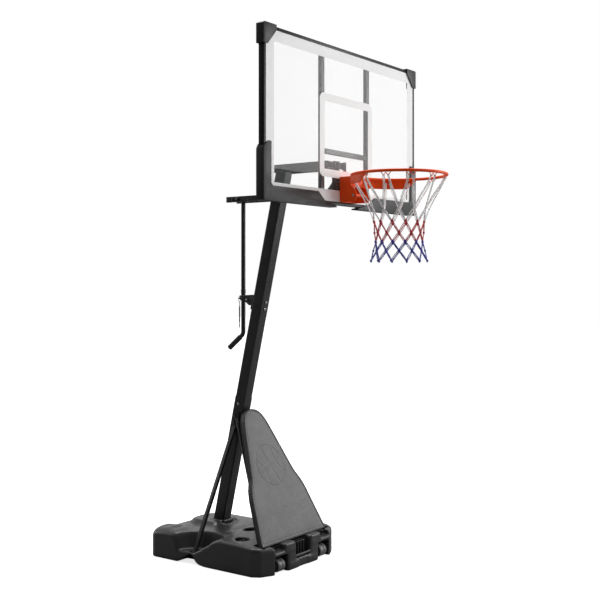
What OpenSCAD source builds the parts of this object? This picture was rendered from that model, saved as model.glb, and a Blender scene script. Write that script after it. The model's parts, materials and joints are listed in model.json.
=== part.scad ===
// Portable basketball hoop: wheeled ballast base, leaning pole, parallel lift arms and board.
// Units are millimetres. The origin is on the floor under the middle of the base.
// +Z is up, the rim faces -Y and the lift handle is on the +Y side.

/* [Base] */
// Width of the ballast tank across the wheels
base_w = 680; // [660:5:720]
// Length of the ballast tank from front to back
base_l = 784; // [770:2:820]
// Height of the tank where the pole enters it
base_top = 172; // [168:1:176]
// Radius of the transport wheels
wheel_r = 33; // [30:1:36]
// Width of each wheel
wheel_w = 56; // [40:1:70]
// Distance of each wheel from the middle
wheel_x = 184; // [178:1:190]

/* [Pole] */
// Where the pole's axis meets the floor, behind the middle
pole_foot_y = 211; // [205:1:217]
// Forward lean of the pole in degrees
pole_lean = 12.84; // [12.5:0.01:13.2]
// Outer width of the lower pole section
pole_w = 70; // [69:0.5:70]
// Wall thickness of the pole tubes
pole_wall = 1.6; // [1.2:0.1:2.4]

/* [Lift linkage] */
// Height of the lower arms' pivots
low_pivot_z = 1935; // [1920:1:1950]
// Height of the upper arms above the lower ones
arm_gap = 147; // [135:1:155]
// Length of an arm between its pole pivot and its board pivot
arm_l = 342; // [330:1:344]
// Distance from the pole pivot back to the handle pivot
lever_l = 250; // [240:1:256]
// Diameter of the lift handle's tube
handle_d = 24; // [18:1:24]

/* [Board] */
// Width of the backboard over its frame
board_w = 1362; // [1300:2:1400]
// Height of the backboard over its frame
board_h = 790; // [760:2:800]
// Height of the frame's lower edge
board_z = 1870; // [1862:1:1874]
// Depth of the frame
frame_d = 31; // [31:1:33]

/* [Rim] */
// Inside diameter of the ring
ring_id = 450; // [450:1:457]
// Diameter of the ring's rod
rod_d = 15; // [14:1:16]
// Height of the ring
ring_z = 2008; // [2004:1:2010]
// Distance from the board's face to the middle of the ring
ring_reach = 306; // [304:1:312]
// Length of the net
net_l = 420; // [380:5:450]

/* [Hidden] */
$fn = 48;
board_y = -661;                                  // front of the backboard frame
ring_r = (ring_id + rod_d) / 2;
ring_y = board_y - ring_reach;
half_w = base_w / 2;
half_l = base_l / 2;
fit = 0.05;                                      // running clearance of a pivot
bolt_r = 5;
arm_w = 16;                                      // an arm's width across the hoop
arm_x = 43.5;                                    // an arm's distance from the middle
low_h = 30;
up_h = 42;
upper_pole_w = pole_w - 2 * pole_wall - 0.4;
pole_top_s = 2150;
pole_lap = [800, 880];                           // where the pole's two sections overlap
function pole_y(z) = pole_foot_y - z * tan(pole_lean);
up_pivot_z = low_pivot_z + arm_gap;
low_pole = [0, pole_y(low_pivot_z), low_pivot_z];
up_pole = [0, pole_y(up_pivot_z), up_pivot_z];
low_board = low_pole - [0, arm_l, 0];
up_board = up_pole - [0, arm_l, 0];
grab = low_pole + [0, lever_l, 0];               // handle pivot at the levers' back ends
handle_bend_z = 1217;
handle_drop = 39;                                // angle of the grip below level
grip_l = 134;
bend_r = 34;                                     // bend between the rod and the grip
turn = 90 - handle_drop;
pad_foot = [0, -338, 139];                       // bottom edge of the pad's face
pad_lean = 24.6;
pad_t = 30;
wheel_z = wheel_r + 6;
wheel_y = -half_l + wheel_r + 2;
well = [100, wheel_r * 2 + 16, wheel_z + wheel_r + 14];
frame_t = 22;                                    // width of the frame's tube
flex_pivot = [0, board_y - 80, 1917];            // the rim's break-away hinge
spring_z = 1970;
stud = [0, 27, 1397];                            // stud that the lock pin hangs on
cap_at = [-240, -170];                           // filler opening
pin_x = -23;
pad_seat_z = 118;                                // floor of the recess behind the wheels
foot_x = 210;                                    // the front struts' feet
foot_bolt_y = -334;

// ---------- shared shapes ----------

module rounded(w, h, r) {
    square([w - 2 * r, h], center = true);
    square([w, h - 2 * r], center = true);
    for (x = [-1, 1], y = [-1, 1])
        translate([x * (w / 2 - r), y * (h / 2 - r)]) circle(r);
}

module on_pole(s = 0) {
    translate([0, pole_foot_y, 0]) rotate([pole_lean, 0, 0]) translate([0, 0, s]) children();
}

module pole_tube(w, s0, s1) {
    on_pole(s0) linear_extrude(s1 - s0) difference() {
        rounded(w, w, 8);
        rounded(w - 2 * pole_wall, w - 2 * pole_wall, 8 - pole_wall);
    }
}

// A round bar along X, centred on x
module cross_bar(at, r, x0, x1) {
    translate([x0, at[1], at[2]]) rotate([0, 90, 0]) cylinder(r = r, h = x1 - x0);
}

// A bolt along X with a hexagon head at one end and a nut at the other
module cross_bolt(at, r, reach, head = 7) {
    cross_bar(at, r, -reach, reach);
    translate([-reach - head, at[1], at[2]]) rotate([0, 90, 0]) cylinder(r = 1.8 * r, h = head, $fn = 6);
    translate([reach, at[1], at[2]]) rotate([0, 90, 0]) cylinder(r = 1.8 * r, h = head, $fn = 6);
}

// A flat bar of section w by t from p to q
module bar(p, q, w, t) {
    v = q - p;
    translate(p) rotate([0, acos(v[2] / norm(v)), atan2(v[1], v[0])])
        translate([-t / 2, -w / 2, 0]) cube([t, w, norm(v)]);
}

module mirrored(side) {
    if (side < 0) children();
    else mirror([1, 0, 0]) children();
}

// ---------- base ----------

module base_plan() {
    polygon([
        [-half_w, half_l - 20], [-half_w + 20, half_l], [half_w - 20, half_l], [half_w, half_l - 20],
        [half_w, -half_l + 74], [240, -half_l + 4], [-240, -half_l + 4], [-half_w, -half_l + 74]]);
}

module notch_plan() {
    polygon([
        [-half_w - 5, 190], [-240, 190], [-240, 120], [-262, 60], [-300, 10],
        [-half_w - 5, -20]]);
}

module side_profile() {
    polygon([
        [-half_l, 0], [-half_l, 118], [-half_l + 8, 138], [-half_l + 72, 152], [-60, base_top],
        [300, base_top], [half_l - 20, 158], [half_l, 138], [half_l, 0]]);
}

module front_profile() {
    polygon([
        [-half_w, 0], [-half_w, 146], [-half_w + 14, 156], [-half_w + 44, base_top],
        [half_w - 44, base_top], [half_w - 14, 156], [half_w, 146], [half_w, 0]]);
}

module wheel_well(side) {
    translate([side * wheel_x - well[0] / 2, -half_l - 1, -1]) cube([well[0], well[1] + 1, well[2] + 1]);
}

module base_body() {
    intersection() {
        linear_extrude(base_top) base_plan();
        translate([-half_w, 0, 0]) rotate([90, 0, 90]) linear_extrude(base_w) side_profile();
        translate([0, half_l, 0]) rotate([90, 0, 0]) linear_extrude(base_l) front_profile();
    }
}

module base_tank() {
    color("#26272a") difference() {
        base_body();
        for (side = [-1, 1]) {
            wheel_well(side);
            mirrored(side) translate([0, 0, 66]) linear_extrude(base_top) notch_plan();
            mirrored(side) translate([0, 0, -1]) linear_extrude(37) notch_plan();
            cross_bar([0, wheel_y, wheel_z], 6 + fit, side * wheel_x - 66, side * wheel_x + 66);
            translate([side * side_bolt_x, 98, 40]) cylinder(r = 4, h = 40);
            translate([side * foot_x, foot_bolt_y, 100]) cylinder(r = 4, h = 40);
        }
        translate([-292, -half_l + 40, pad_seat_z]) cube([584, 116, base_top]);
        translate([-68, -half_l - 1, 45]) cube([136, 46, base_top]);
        translate([cap_at[0], cap_at[1], 128]) cylinder(r = 39, h = 60);
        translate([cap_at[0], cap_at[1], 100]) cylinder(r = 22, h = 60);
        on_pole(96) linear_extrude(400) rounded(pole_w + 0.4, pole_w + 0.4, 8.2);
    }
    color("#26272a") for (x = [-38, -6, 26])
        translate([x, -half_l + 20, 44]) cube([12, 26, 88]);
}

module fill_cap() {
    color("#1b1c1e") translate([cap_at[0], cap_at[1], 0]) {
        translate([0, 0, 104]) cylinder(r = 21.9, h = 24.5);
        translate([0, 0, 128.5]) cylinder(r = 32, h = 12);
        for (a = [0:60:300])
            rotate([0, 0, a]) translate([30, 0, 128.5]) cylinder(r = 4, h = 12);
        translate([-22, -4, 140.5]) cube([44, 8, 9]);
    }
}

module wheel(side) {
    color("#303134") translate([side * wheel_x, wheel_y, wheel_z]) rotate([0, 90, 0])
        translate([0, 0, -wheel_w / 2]) difference() {
            union() {
                cylinder(r = wheel_r - 3, h = wheel_w);
                translate([0, 0, 5]) cylinder(r = wheel_r, h = wheel_w - 10);
            }
            translate([0, 0, -1]) cylinder(r = 6 + fit, h = wheel_w + 2);
            for (z = [-1, wheel_w - 9]) translate([0, 0, z]) difference() {
                cylinder(r = wheel_r - 9, h = 10);
                translate([0, 0, -1]) cylinder(r = 13, h = 12);
            }
        }
}

module wheel_axles() {
    color("silver") for (side = [-1, 1])
        cross_bar([0, wheel_y, wheel_z], 6, side * wheel_x - 66, side * wheel_x + 66);
}

// ---------- pole and struts ----------

module pole_bore(s, r = bolt_r) {
    on_pole(s) rotate([0, 90, 0]) cylinder(r = r, h = 120, center = true);
}

module pole_lower() {
    color("#202124") difference() {
        pole_tube(pole_w, 96, pole_lap[1]);
        for (s = [741, 775, 843]) pole_bore(s);
    }
}

module pole_upper() {
    color("#202124") difference() {
        pole_tube(upper_pole_w, pole_lap[0], pole_top_s);
        pole_bore(843);
        cross_bar(low_pole, bolt_r, -50, 50);
        cross_bar(up_pole, bolt_r, -50, 50);
        for (z = [1345, 1381]) fork_bolt_hole(z);
    }
}

module fork_bolt_hole(z) {
    on_pole(z / cos(pole_lean)) rotate([90, 0, 0]) cylinder(r = 4, h = 120, center = true);
}

module pole_cap() {
    color("#151517") {
        on_pole(pole_top_s) linear_extrude(4) rounded(upper_pole_w, upper_pole_w, 8);
        on_pole(pole_top_s - 7) linear_extrude(7)
            rounded(upper_pole_w - 2 * pole_wall - 0.2, upper_pole_w - 2 * pole_wall - 0.2, 8 - pole_wall);
    }
}

module pole_bolts() {
    color("silver") on_pole(843) rotate([0, 90, 0]) {
        cylinder(r = bolt_r, h = pole_w, center = true);
        for (z = [-pole_w / 2 - 6, pole_w / 2]) translate([0, 0, z]) cylinder(r = 8.5, h = 6, $fn = 6);
    }
}

side_top = [-41.4, pole_y(722), 722];
side_foot = [-302, 98, 71];
side_bolt_x = 318;

module side_strut(side) {
    color("#1d1e20") mirrored(side) difference() {
        union() {
            bar(side_top - [2, 0, 26], side_foot, 26, 12);
            translate([-47.2, side_top[1] - 13, 690]) cube([12, 26, 43]);
            translate([-side_bolt_x - 14, 82, 66]) cube([46, 32, 5]);
        }
        pole_bore(741);
        translate([-side_bolt_x, 98, 40]) cylinder(r = 4, h = 60);
        translate([-400, 0, 0]) cube([200, 200, 66]);
        translate([-35.1, -400, 1]) cube([60, 800, 900]);
    }
}

front_top = [-43.4, pole_y(756) - 14, 743];
front_foot = [-foot_x, -290, pad_seat_z + 3];

module front_strut(side) {
    color("#1d1e20") mirrored(side) difference() {
        union() {
            bar(front_top, front_foot, 24, 12);
            translate([-47.2, pole_y(756) - 25, 737]) cube([12, 38, 37]);
            translate([-foot_x - 18, foot_bolt_y - 12, pad_seat_z]) cube([36, 74, 5]);
        }
        pole_bore(775);
        translate([-foot_x, foot_bolt_y, 100]) cylinder(r = 4, h = 40);
        translate([-35.1, -400, 1]) cube([60, 900, 900]);
        translate([-foot_x - 30, -400, pad_seat_z - 20]) cube([60, 200, 20]);
    }
}

module strut_bolts() {
    color("silver") {
        for (s = [741, 775]) on_pole(s) rotate([0, 90, 0]) {
            cylinder(r = bolt_r, h = 94.4, center = true);
            for (z = [-53.2, 47.2]) translate([0, 0, z]) cylinder(r = 8.5, h = 6, $fn = 6);
        }
        for (side = [-1, 1]) {
            translate([side * side_bolt_x, 98, 44]) cylinder(r = 4, h = 31);
            translate([side * side_bolt_x, 98, 71]) cylinder(r = 7.5, h = 5, $fn = 6);
            translate([side * foot_x, foot_bolt_y, 104]) cylinder(r = 4, h = pad_seat_z - 99);
            translate([side * foot_x, foot_bolt_y, pad_seat_z + 5]) cylinder(r = 7.5, h = 4, $fn = 6);
        }
    }
}

// ---------- pad ----------

// Outline of the pad's face: flared skirt, shoulder step, then a long taper to a round top
function pad_side(inset) = [
    [281 - inset, inset], [231 - inset, 250], [214 - inset, 298], [184 - inset, 350],
    [112 - inset, 600], [92 - inset, 660], [66 - inset, 700 - inset / 2], [34, 718 - inset], [0, 724 - inset]];

module pad_plan(inset = 0) {
    half = pad_side(inset);
    n = len(half);
    polygon(concat(half, [for (i = [1:n - 1]) [-half[n - 1 - i][0], half[n - 1 - i][1]]]));
}

module on_pad(depth) {
    translate(pad_foot) rotate([90 - pad_lean, 0, 0]) translate([0, 0, -depth]) children();
}

module pad_backing() {
    color("#141416") on_pad(pad_t) linear_extrude(5) pad_plan();
}

module front_pad() {
    color("#77787a") on_pad(pad_t - 5) {
        linear_extrude(pad_t - 13) pad_plan();
        translate([0, 0, pad_t - 13]) linear_extrude(5) pad_plan(4);
        translate([0, 0, pad_t - 8]) linear_extrude(3) pad_plan(9);
    }
}

// ---------- lift handle ----------

module fork_cheek() {
    rotate([90, 0, 90]) linear_extrude(3.5, center = true) polygon([
        [pole_y(1345) + 34, 1340], [pole_y(1345) + 40, 1340], [-46, 1358], [-32, 1359], [-14, 1374],
        [6, 1380], [26, 1386], [34, 1392], [34, 1406], [30, 1412], [-60, 1416],
        [pole_y(1416) + 34, 1416]]);
}

module handle_fork() {
    color("#1d1e20") difference() {
        union() {
            for (side = [-1, 1]) translate([side * 16.3, 0, 0]) fork_cheek();
            on_pole(1384) translate([-33, upper_pole_w / 2, -20]) cube([66, 4, 76]);
        }
        on_pole(1300) linear_extrude(200) rounded(upper_pole_w, upper_pole_w, 8);
        for (z = [1345, 1381]) fork_bolt_hole(z);
        cross_bar([0, -20, 1389], 4, -30, 30);
        cross_bar(stud, 2.5, -30, 0);
    }
}

module fork_bolts() {
    color("silver") {
        for (z = [1345, 1381]) on_pole(z / cos(pole_lean)) rotate([90, 0, 0]) {
            translate([0, 0, -upper_pole_w / 2 - 4]) cylinder(r = 4, h = upper_pole_w + 4);
            translate([0, 0, upper_pole_w / 2]) cylinder(r = 7.5, h = 4.5);
            translate([0, 0, -upper_pole_w / 2 - 10]) cylinder(r = 7, h = 6, $fn = 6);
        }
        cross_bolt([0, -20, 1389], 4, 18.1, 5);
        cross_bar(stud, 2.5, -29, -14.6);
        cross_bar(stud, 4.5, -31, -29);
    }
}

// The rod's knee: its grip end points down and back from here
knee_l = bend_r * tan(turn / 2);
knee = [0, grab[1], handle_bend_z - knee_l];

module handle_tail() {
    translate(knee) rotate([180 + turn, 0, 0]) children();
}

module handle_rod() {
    color("#1d1e20") difference() {
        union() {
            translate(knee) cylinder(d = handle_d, h = grab[2] + 12 - knee[2]);
            translate(knee) sphere(d = handle_d + 1);
            handle_tail() cylinder(d = handle_d, h = grip_l + knee_l - 30);
        }
        cross_bar(grab, bolt_r + fit, -30, 30);
    }
}

module handle_collar() {
    color("#101012") translate([0, grab[1], 1424]) difference() {
        cylinder(d = handle_d + 3, h = 20);
        translate([0, 0, -1]) cylinder(d = handle_d, h = 22);
    }
}

module handle_grip() {
    color("#101012") handle_tail() translate([0, 0, knee_l]) difference() {
        translate([0, 0, 12]) cylinder(d = handle_d + 4, h = grip_l - 36);
        translate([0, 0, 11]) cylinder(d = handle_d, h = grip_l - 41);
    }
}

module handle_pivot_bolt() {
    color("silver") cross_bolt(grab, bolt_r, arm_x + arm_w / 2);
}

module handle_spacers() {
    color("#2c2d30") for (x = [[-arm_x + arm_w / 2, -handle_d / 2 - 0.5], [handle_d / 2 + 0.5, arm_x - arm_w / 2]])
        difference() {
            cross_bar(grab, 9, x[0], x[1]);
            cross_bar(grab, bolt_r, x[0] - 1, x[1] + 1);
        }
}

module lever_end_bolt() {
    color("silver") cross_bolt([0, grab[1] + 32, low_pivot_z - 4], 4, arm_x + arm_w / 2, 5);
}

module lock_pin() {
    color("silver") translate([pin_x, stud[1], 0]) {
        translate([0, 0, 1262]) cylinder(r = 2.2, h = 118.2);
        translate([0, 0, 1238]) cylinder(r = 2.9, h = 24);
        translate([0, 0, 1238]) sphere(2.9);
    }
}

module pin_sleeve() {
    color("#101012") translate([pin_x, stud[1], 1264]) difference() {
        cylinder(r = 3.4, h = 88);
        translate([0, 0, -1]) cylinder(r = 2.2, h = 90);
    }
}

module pin_ring() {
    color("silver") translate([pin_x, stud[1], stud[2] - 6]) rotate([0, 90, 0])
        rotate_extrude() translate([9.7, 0]) circle(1.1);
}

// ---------- lift arms ----------

module lower_arm(side) {
    back = grab[1] + 78;
    front = low_board[1] - 18;
    color("#1d1e20") translate([side * arm_x, 0, 0]) difference() {
        translate([-arm_w / 2, front, low_pivot_z - low_h / 2]) cube([arm_w, back - front, low_h]);
        translate([-arm_w / 2 + 2, front - 1, low_pivot_z - low_h / 2 + 2])
            cube([arm_w - 4, back - front - 1, low_h - 4]);
        cross_bar(low_pole, bolt_r + fit, -30, 30);
        cross_bar(low_board, bolt_r + fit, -30, 30);
        cross_bar(grab, bolt_r, -30, 30);
        cross_bar([0, grab[1] + 32, low_pivot_z - 4], 4, -30, 30);
    }
}

module upper_arm(side) {
    back = up_pole[1] + 30;
    front = up_board[1] - 17;
    color("#1d1e20") translate([side * arm_x, 0, 0]) difference() {
        translate([-arm_w / 2, front, up_pivot_z - 15]) cube([arm_w, 45, 30]);
        cross_bar(up_board, bolt_r + 0.6, -30, 30);
    }
    color("#1d1e20") translate([side * arm_x, 0, 0]) difference() {
        translate([-arm_w / 2, front + 45, up_pivot_z - up_h / 2]) cube([arm_w, back - front - 45, up_h]);
        cross_bar(up_pole, bolt_r + fit, -30, 30);
    }
}

module pole_pivot_bolts() {
    color("silver") {
        cross_bolt(low_pole, bolt_r, arm_x + arm_w / 2 + 0.3);
        cross_bolt(up_pole, bolt_r, arm_x + arm_w / 2 + 0.3);
    }
}

module board_pivot_bolts() {
    color("silver") {
        cross_bolt(low_board, bolt_r, arm_x + arm_w / 2 + 0.3);
        cross_bolt(up_board, bolt_r, arm_x + arm_w / 2 + 0.3);
    }
}

// ---------- backboard ----------

module backboard_panel() {
    color([0.93, 0.95, 0.96, 0.35]) difference() {
        translate([-board_w / 2 + 2, board_y + 1.6, board_z + 2]) cube([board_w - 4, 4, board_h - 4]);
        rim_bolt_places() cylinder(r = rim_bolt_r, h = 60);
    }
}

// Channel with a front lip that holds the panel's edge; u runs inwards and v backwards
module rail_section() {
    polygon([
        [0, 0], [16, 0], [16, 1.6], [1.6, 1.6], [1.6, 5.7], [frame_t, 5.7], [frame_t, frame_d],
        [frame_t - 1.6, frame_d], [frame_t - 1.6, 7.3], [1.6, 7.3], [1.6, frame_d], [0, frame_d]]);
}

module frame_bottom_rail() {
    color("#242528") translate([-board_w / 2, board_y, board_z]) rotate([90, 0, 90])
        linear_extrude(board_w) mirror([1, -1]) rail_section();
}

module frame_top_rail() {
    color("#242528") translate([-board_w / 2, board_y, board_z + board_h]) rotate([90, 0, 90])
        linear_extrude(board_w) mirror([0, 1]) mirror([1, -1]) rail_section();
}

module frame_side_rail(side) {
    color("#242528") mirrored(side) difference() {
        translate([-board_w / 2, board_y, board_z]) linear_extrude(board_h) rail_section();
        for (z = [board_z - 1, board_z + board_h - frame_t])
            translate([-board_w / 2 - 1, board_y - 1, z]) cube([frame_t + 2, frame_d + 2, frame_t + 1]);
    }
}

module frame_left_rail() { frame_side_rail(-1); }
module frame_right_rail() { frame_side_rail(1); }

// A moulded corner: front skin, outer walls and a back lip around the frame
module corner_shell(side, grow) {
    mirrored(side) difference() {
        translate([0, board_y + frame_d + 8, 0]) rotate([90, 0, 0]) linear_extrude(frame_d + 14) children();
        translate([-board_w / 2, board_y, board_z]) cube([board_w, frame_d, board_h]);
        translate([-board_w / 2 + frame_t, board_y - 0.01, board_z + frame_t])
            cube([board_w - 2 * frame_t, frame_d + 20, board_h - 2 * frame_t]);
    }
}

cap_leg = 96;
skin = 8;

module corner_cap(side) {
    x = -board_w / 2 - skin;
    z = board_z + board_h + skin;
    color("#1b1c1e") corner_shell(side)
        polygon([[x, z - 6], [x + 6, z], [x + cap_leg, z], [x + cap_leg, z - 26],
            [x + 30, z - cap_leg], [x, z - cap_leg]]);
}

module corner_pad(side) {
    x = -board_w / 2 - skin;
    z = board_z - 13;
    color("#1b1c1e") corner_shell(side)
        polygon([[x, z + 4], [x + 4, z], [-100, z], [-100, z + 6], [-205, z + 30], [-258, z + 70],
            [-620, z + 70], [-632, z + 82], [-632, z + 273], [-651, z + 273], [-679, z + 253], [x, z + 233]]);
}

support_x = 205;
support_y = board_y + 5.7;                       // supports lie against the panel's back
support_d = 20;

module support(side) {
    color("#2e2f32") difference() {
        translate([side * support_x - 14, support_y, board_z + frame_t])
            cube([28, support_d, board_h - 2 * frame_t]);
        translate([side * support_x - 12, support_y + 2, board_z + frame_t - 1])
            cube([24, support_d - 4, board_h - 2 * frame_t + 2]);
    }
}

module crossbar(z) {
    color("#2e2f32") difference() {
        translate([-support_x + 14, support_y, z]) cube([2 * support_x - 28, support_d, 25]);
        translate([-support_x + 13, support_y + 2, z + 2]) cube([2 * support_x - 26, support_d - 4, 21]);
    }
}

module upper_crossbar() { crossbar(2120); }
module lower_crossbar() { crossbar(board_z + frame_t + 8); }

module bracket_cheek() {
    y0 = support_y + support_d;
    rotate([90, 0, 90]) linear_extrude(4, center = true) polygon([
        [y0, board_z + 34], [low_board[1] + 12, low_pivot_z - 22], [low_board[1] + 18, low_pivot_z - 12],
        [low_board[1] + 18, low_pivot_z + 14], [y0 + 20, up_pivot_z - 62], [y0 + 16, up_pivot_z - 26],
        [up_board[1] + 14, up_pivot_z - 14], [up_board[1] + 14, up_pivot_z + 14], [y0, up_pivot_z + 14]]);
}

module board_bracket() {
    y0 = support_y + support_d;
    color("#202124") difference() {
        union() {
            for (side = [-1, 1]) translate([side * 30, 0, 0]) bracket_cheek();
            translate([-92, y0, board_z + frame_t + 1]) cube([184, 4, 120]);
        }
        cross_bar(low_board, bolt_r, -60, 60);
        cross_bar(up_board, bolt_r, -60, 60);
        rim_bolt_places() cylinder(r = rim_bolt_r, h = 60);
    }
}

// ---------- rim ----------

rim_bolt_r = 4;
rim_plate_t = 6;
rim_grip = 30.4 + rim_plate_t;                   // from the back of the board bracket to the rim's plate

// The bolts' axes, starting behind the board bracket and running forwards
module rim_bolt_places() {
    for (x = [-45, 45], z = [1938, 1990])
        translate([x, board_y + 32, z]) rotate([90, 0, 0]) children();
}

module rim_bracket() {
    y0 = board_y + 1.6;
    color("#d9400f") difference() {
        union() {
            translate([-63.5, y0 - rim_plate_t, 1886]) cube([127, rim_plate_t, 127]);
            for (side = [-1, 1]) translate([side * 61.5, 0, 0]) rotate([90, 0, 90])
                linear_extrude(4, center = true) polygon([
                    [y0, 1886], [y0, 2013], [board_y - 66, 2013], [board_y - 72, 1996],
                    [board_y - 72, 1960], [board_y - 90, 1944], [board_y - 98, 1925],
                    [board_y - 100, 1902], [board_y - 88, 1886]]);
        }
        cross_bar(flex_pivot, 4, -70, 70);
        rim_bolt_places() cylinder(r = rim_bolt_r, h = 60);
        translate([0, board_y + 10, spring_z]) rotate([90, 0, 0]) cylinder(r = 4, h = 30);
    }
}

module rim_bolts() {
    back = support_y + support_d + 4 - board_y - 32;
    color("silver") rim_bolt_places() {
        translate([0, 0, -back - 8]) cylinder(r = rim_bolt_r, h = rim_grip + back + 8);
        translate([0, 0, -back - 6]) cylinder(r = 7, h = 6, $fn = 6);
        translate([0, 0, rim_grip]) cylinder(r = 6.5, h = 2.4);
    }
}

module rim_hinge_pin() {
    color("silver") {
        cross_bar(flex_pivot, 4, -63.5, 63.5);
        cross_bar(flex_pivot, 6.5, -66, -63.5);
        cross_bar(flex_pivot, 6.5, 63.5, 66);
    }
}

module rim_spring_rod() {
    color("silver") translate([0, board_y + 1.6, spring_z]) rotate([90, 0, 0]) {
        cylinder(r = 4, h = 59);
        translate([0, 0, 45]) cylinder(r = 12, h = 2);
        translate([0, 0, 47]) cylinder(r = 8, h = 6, $fn = 6);
    }
}

// Points of one ring of the coil's wire, which turns about the spring rod
coil_turns = 4;
coil_steps = 18;
coil_sides = 6;
coil_r = 8;
wire_r = 1.4;
coil_y0 = board_y - 14.6;                        // in front of the tongue
coil_y1 = board_y - 41.8;                        // behind the rod's washer
function coil_centre(i) =
    let(a = 360 * i / coil_steps, t = i / (coil_steps * coil_turns))
    [coil_r * cos(a), coil_y0 + (coil_y1 - coil_y0) * t, spring_z + coil_r * sin(a)];
function coil_point(i, j) =
    let(a = 360 * i / coil_steps, b = 360 * j / coil_sides)
    coil_centre(i) + wire_r * [cos(a) * cos(b), sin(b), sin(a) * cos(b)];

module rim_spring() {
    n = coil_steps * coil_turns;
    points = [for (i = [0:n], j = [0:coil_sides - 1]) coil_point(i, j)];
    sides = [for (i = [0:n - 1], j = [0:coil_sides - 1])
        [i * coil_sides + j, i * coil_sides + (j + 1) % coil_sides,
            (i + 1) * coil_sides + (j + 1) % coil_sides, (i + 1) * coil_sides + j]];
    ends = [[for (j = [0:coil_sides - 1]) coil_sides - 1 - j], [for (j = [0:coil_sides - 1]) n * coil_sides + j]];
    color("silver") polyhedron(points, concat(sides, ends));
}

// Hinged part of the rim: barrel, side arms, tongue behind the spring and plate under the ring
module rim_neck() {
    color("#d9400f") difference() {
        union() {
            cross_bar(flex_pivot, 8, -59, 59);
            translate([-58, board_y - 13, 1940]) cube([116, 4, 60]);
            translate([-58, board_y - 80, 1994]) cube([116, 71, 6]);
            for (side = [-1, 1]) translate([side * 56, 0, 0]) rotate([90, 0, 90])
                linear_extrude(4, center = true) polygon([
                    [board_y - 9, 2000], [board_y - 80, 2000], [board_y - 80, 1962],
                    [board_y - 88, 1912], [board_y - 73, 1909], [board_y - 9, 1940]]);
        }
        cross_bar(flex_pivot, 4 + fit, -70, 70);
        translate([-6, board_y - 20, spring_z - 22]) cube([12, 20, 29]);
        translate([0, ring_y, 1955]) cylinder(r = brace_r, h = 100, $fn = 96);
    }
}

module ring_solid() {
    translate([0, ring_y, ring_z]) rotate_extrude($fn = 96) translate([ring_r, 0]) circle(d = rod_d);
}

module rim_ring() {
    color("#e04812") ring_solid();
}

brace_half = 80;                                 // angle that the brace covers on each side
brace_r = ring_r + 6.5;
brace_h = 41;

module rim_brace() {
    color("#d9400f") difference() {
        translate([0, ring_y, ring_z - 7 - brace_h]) rotate([0, 0, 90 - brace_half])
            rotate_extrude(angle = 2 * brace_half, $fn = 96) translate([brace_r - 4, 0]) square([4, brace_h]);
        for (side = [-1, 1]) mirrored(side)
            translate([-brace_r - 10, ring_y + 86, ring_z - 7 - brace_h]) mirror([0, 1, 0])
                rotate([0, 90, 0]) linear_extrude(80) polygon([[1, 0], [-brace_h - 1, 46], [1, 46]]);
        ring_solid();
    }
}

module net_hooks() {
    color("#b5360d") for (i = [0:11]) rotate_ring(30 * i + 15) difference() {
        translate([ring_r, 0, -17]) rotate([0, 90, 0]) rotate_extrude() translate([9, 0]) circle(1.6);
        translate([ring_r, 0, 0]) rotate([90, 0, 0]) cylinder(d = rod_d + 0.6, h = 60, center = true);
    }
}

module rotate_ring(a) {
    translate([0, ring_y, ring_z]) rotate([0, 0, a]) children();
}

// The net as a closed tapered sleeve, open at both ends
module net() {
    color("#f2f2f2") translate([0, ring_y, ring_z - 9 - net_l]) rotate_extrude($fn = 64) polygon([
        [146, 0], [152, 0], [122, 94], [128, 180], [190, 300], [ring_r - 9, net_l - 20],
        [ring_r - 15, net_l - 20], [184, 300], [122, 180], [116, 94]]);
}

base_tank();
fill_cap();
wheel(-1);  // wheel_left
wheel(1);  // wheel_right
wheel_axles();
pole_lower();
pole_upper();
pole_cap();
pole_bolts();
side_strut(-1);  // side_strut_left
side_strut(1);  // side_strut_right
front_strut(-1);  // front_strut_left
front_strut(1);  // front_strut_right
strut_bolts();
pad_backing();
front_pad();
handle_fork();
fork_bolts();
handle_rod();
handle_collar();
handle_grip();
handle_pivot_bolt();
handle_spacers();
lever_end_bolt();
lock_pin();
pin_sleeve();
pin_ring();
lower_arm(-1);  // lower_arm_left
lower_arm(1);  // lower_arm_right
upper_arm(-1);  // upper_arm_left
upper_arm(1);  // upper_arm_right
pole_pivot_bolts();
board_pivot_bolts();
backboard_panel();
frame_top_rail();
frame_bottom_rail();
frame_left_rail();
frame_right_rail();
corner_cap(-1);  // corner_cap_left
corner_cap(1);  // corner_cap_right
corner_pad(-1);  // corner_pad_left
corner_pad(1);  // corner_pad_right
support(-1);  // support_left
support(1);  // support_right
upper_crossbar();
lower_crossbar();
board_bracket();
rim_bracket();
rim_bolts();
rim_hinge_pin();
rim_spring_rod();
rim_spring();
rim_neck();
rim_ring();
rim_brace();
net_hooks();
net();
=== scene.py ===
"""Looks of the portable basketball hoop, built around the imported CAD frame. Metres, +Z up, rim towards -Y."""
import json
import math
import random

import bmesh
import bpy
import numpy as np
from mathutils import Matrix, Vector


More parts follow.
